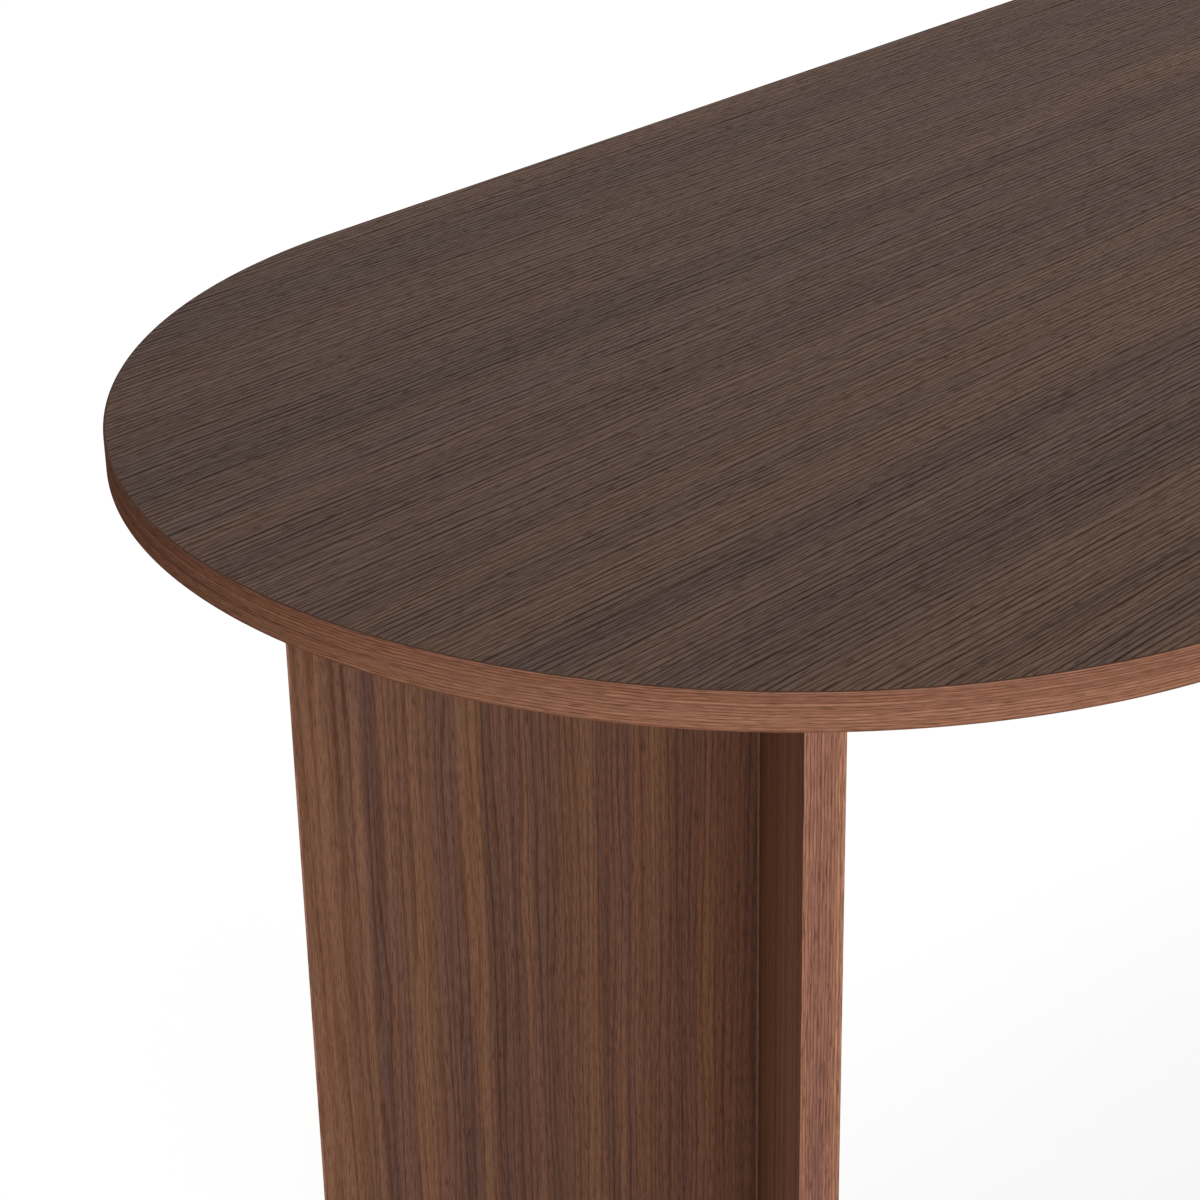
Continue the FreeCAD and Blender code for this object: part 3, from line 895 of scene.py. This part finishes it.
def leg_directions(leg):
    """The directions in which a leg's through panel and butt panel run out from their corner."""
    side = LEG_SIDES[leg]
    return {
        "through_panel": (side * DIAGONAL, side * DIAGONAL, 0),
        "butt_panel": (side * DIAGONAL, -side * DIAGONAL, 0),
    }


def dress(node, material):
    """Give a loaded solid its finish."""
    nodes[node].data.materials.clear()
    nodes[node].data.materials.append(material)


for number, leg in enumerate(LEG_SIDES):
    corner = (LEG_SIDES[leg] * CORNER_X, 0, -SHEET_STEP * number)
    for panel, direction in leg_directions(leg).items():
        board = leg + "_" + panel
        (heart, depth, sapwood), accents = BOARDS[board]
        panel_finish = walnut(
            "walnut_" + board,
            lambda tree: grain_from_object(tree, UPRIGHT, direction, corner),
            PANEL_COLOURS,
            {**PANEL_FIGURE, "Heart Offset": heart, "Heart Depth": depth},
            PANEL_SURFACE,
            sapwood,
            accents,
        )
        dress(board, panel_finish)
        outwards = Vector(direction).cross(Vector(UPRIGHT))
        lightened_edge_finish = walnut(
            "walnut_lightened_edges_of_" + board,
            lambda tree: grain_from_object(tree, UPRIGHT, outwards, corner),
            EDGE_COLOURS_LIGHTENED_FOR_SHADE,
            BAND_FIGURE,
            EDGE_SURFACE,
        )
        for band in ("outer_band", "foot_band"):
            dress(board + "_" + band, lightened_edge_finish)
        dress(board + "_inner_band", cut_edge_painted_light_finish)
        print("finished", board, "with", len(accents), "streaks of its own")

# %% [markdown]
# ## The underside
# Under the top lies a plain balancing laminate, which keeps the board flat. The photograph doesn't show it,
# so it is given the leg boards' print, with straight lines and hardly any relief.

# %% Finish the underside
BACKER_FIGURE = {"Ring Spacing": 0.0034, "Heart Depth": 0.0, "Wander": 0.004, "Streak Width": 0.06}
BACKER_SURFACE = {
    "rings": 0.5,
    "pores": 0.25,
    "fibre": 0.15,
    "relief": 0.1,
    "gloss": (0.5, 0.68),
    "coat": 0.15,
}
BACKER_SHEET_CORNER = (0, -3.1, 0.7)

backer_finish = walnut(
    "walnut_backer",
    lambda tree: grain_from_object(tree, LENGTHWAYS, CROSSWAYS, BACKER_SHEET_CORNER),
    PANEL_COLOURS,
    BACKER_FIGURE,
    BACKER_SURFACE,
)
dress("top_backer_laminate", backer_finish)
print("backer finish has", len(backer_finish.node_tree.nodes), "nodes")

# %% [markdown]
# ## Uneven coats
# No coated, plated or moulded surface is perfectly even. The fittings' finishes share one group with two
# noises: a fine speckle for gloss and relief, and a slow cloud for the shade.

# %% Build the speckle group
SPECKLE_INPUTS = {"Grain Size": 0.0012, "Cloud Size": 0.03}


def build_speckle_group():
    """Fine unevenness of a coated or moulded surface, from Object coordinates in metres."""
    group = bpy.data.node_groups.new("coat_speckle", "ShaderNodeTree")
    for name, value in SPECKLE_INPUTS.items():
        socket = group.interface.new_socket(name, in_out="INPUT", socket_type="NodeSocketFloat")
        socket.default_value = value
    for name in ("Speckle", "Cloud"):
        group.interface.new_socket(name, in_out="OUTPUT", socket_type="NodeSocketFloat")
    source = add_node(group, "NodeGroupInput").outputs
    finish = add_node(group, "NodeGroupOutput").inputs
    coordinates = add_node(group, "ShaderNodeTexCoord").outputs["Object"]
    for size, output in (("Grain Size", "Speckle"), ("Cloud Size", "Cloud")):
        scale = calc(group, "DIVIDE", 1.0, source[size])
        noise = add_node(group, "ShaderNodeTexNoise", {"Vector": coordinates, "Scale": scale, "Detail": 2.0})
        group.links.new(noise.outputs[0], finish[output])
    return group


speckle_group = build_speckle_group()
print("speckle group sockets:", [item.name for item in speckle_group.interface.items_tree])

# %% [markdown]
# ## The fittings
# The brackets are powder-coated steel, the bolts and nuts are zinc plated, and the glides and caps are
# moulded plastic. Every fitting's node has a name that ends in what it is, so one table of endings gives
# them all their finish. The top's bare core is in it too.

# %% Finish the fittings
SPECKLE_DEPTH = 0.0002
SPECKLE_RANGE = (0.3, 0.7)
ZINC_DARK = srgb(168, 170, 172)
ZINC_LIGHT = srgb(198, 200, 200)


def coated(name, dark, light, gloss, relief, metallic=0.0):
    """A coated, plated or moulded finish between two shades, with a fine uneven surface."""
    material, tree, shader = new_material(name)
    masks = add_node(tree, "ShaderNodeGroup", node_tree=speckle_group).outputs
    colour = mix_colour(tree, masks["Cloud"], dark, light)
    rough = remap(tree, masks["Speckle"], *SPECKLE_RANGE, *gloss)
    sockets = {"Height": masks["Speckle"], "Strength": relief, "Distance": SPECKLE_DEPTH}
    bump = add_node(tree, "ShaderNodeBump", sockets)
    for socket, value in (("Base Color", colour), ("Roughness", rough), ("Normal", bump.outputs[0])):
        tree.links.new(value, shader.inputs[socket])
    shader.inputs["Metallic"].default_value = metallic
    return material


FITTING_FINISHES = {
    "_bracket": coated("black_powder_coat", srgb(26, 26, 27), srgb(38, 38, 39), (0.42, 0.62), 0.5),
    "_glide": coated("brown_nylon", srgb(38, 28, 24), srgb(48, 36, 30), (0.45, 0.6), 0.25),
    "_cam_caps": coated("brown_cap_plastic", srgb(84, 54, 40), srgb(96, 63, 47), (0.4, 0.55), 0.2),
    "_cam_locks": coated("cast_zinc", srgb(150, 150, 152), srgb(176, 176, 178), (0.38, 0.55), 0.4, 1.0),
    "_dowels": coated("bare_beech", srgb(196, 158, 112), srgb(214, 178, 132), (0.55, 0.7), 0.3),
    "_board": coated("fibreboard_core", srgb(150, 118, 82), srgb(176, 142, 104), (0.75, 0.9), 0.5),
    "_bolts": coated("zinc_plated_bolts", ZINC_DARK, ZINC_LIGHT, (0.24, 0.4), 0.2, 1.0),
    "_screws": coated("black_screws", srgb(28, 28, 30), srgb(44, 44, 46), (0.35, 0.5), 0.2, 0.6),
    "_nuts": coated("zinc_plated_nuts", ZINC_DARK, ZINC_LIGHT, (0.28, 0.44), 0.2, 1.0),
    "_nails": coated("bright_nails", srgb(160, 162, 164), srgb(186, 188, 190), (0.25, 0.4), 0.2, 1.0),
}
for ending, finish in FITTING_FINISHES.items():
    matching = [node for node in nodes if node.endswith(ending)]
    for node in matching:
        dress(node, finish)
    print(finish.name, "on", len(matching), "nodes")
